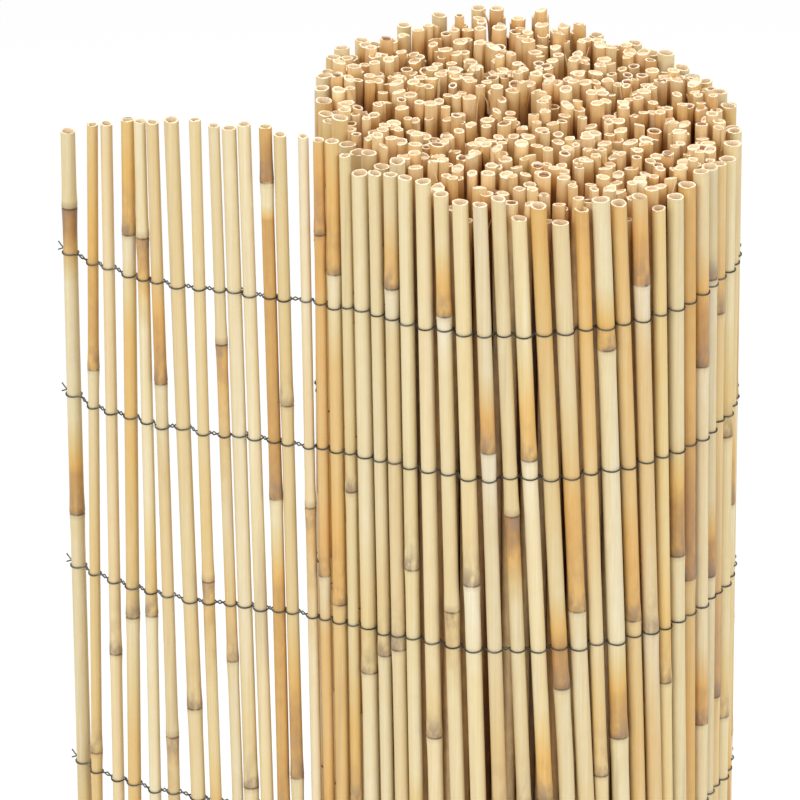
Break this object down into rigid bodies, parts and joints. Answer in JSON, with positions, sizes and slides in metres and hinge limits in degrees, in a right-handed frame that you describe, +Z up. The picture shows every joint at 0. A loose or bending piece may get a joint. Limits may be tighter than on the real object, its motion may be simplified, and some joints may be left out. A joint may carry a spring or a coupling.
{
  "type": "reed screening fence roll",
  "caption": "Screening fence of natural reeds bound side by side by rows of thin wire, rolled up and standing on end with its loose end unrolled to one side.",
  "frame": {"origin": "on the floor, on the axis of the roll", "axes": "+Z up along the reeds, -Y the front that the loose end leaves from, -X the side that the loose end runs to"},
  "size_m": [0.3444, 0.2201, 0.9991],
  "materials": {
    "reed": "smooth dry reed, satin, cream to honey with brown bands at the joints",
    "binding_wire": "dull dark galvanised wire"
  },
  "bodies": {
    "root": {"reed_roll": "reed", "loose_reed_01": "reed", "loose_reed_02": "reed", "loose_reed_03": "reed", "loose_reed_04": "reed", "loose_reed_05": "reed", "loose_reed_06": "reed", "loose_reed_07": "reed", "loose_reed_08": "reed", "loose_reed_09": "reed", "loose_reed_10": "reed", "loose_reed_11": "reed", "loose_reed_12": "reed", "loose_reed_13": "reed", "loose_reed_14": "reed", "loose_reed_15": "reed", "loose_reed_16": "reed", "loose_reed_17": "reed", "loose_reed_18": "reed", "loose_reed_19": "reed", "loose_reed_20": "reed", "wire_row_01": "binding_wire", "wire_row_02": "binding_wire", "wire_row_03": "binding_wire", "wire_row_04": "binding_wire", "wire_row_05": "binding_wire", "wire_row_06": "binding_wire", "wire_row_07": "binding_wire", "wire_row_08": "binding_wire", "wire_row_09": "binding_wire"}
  },
  "joints": []
}
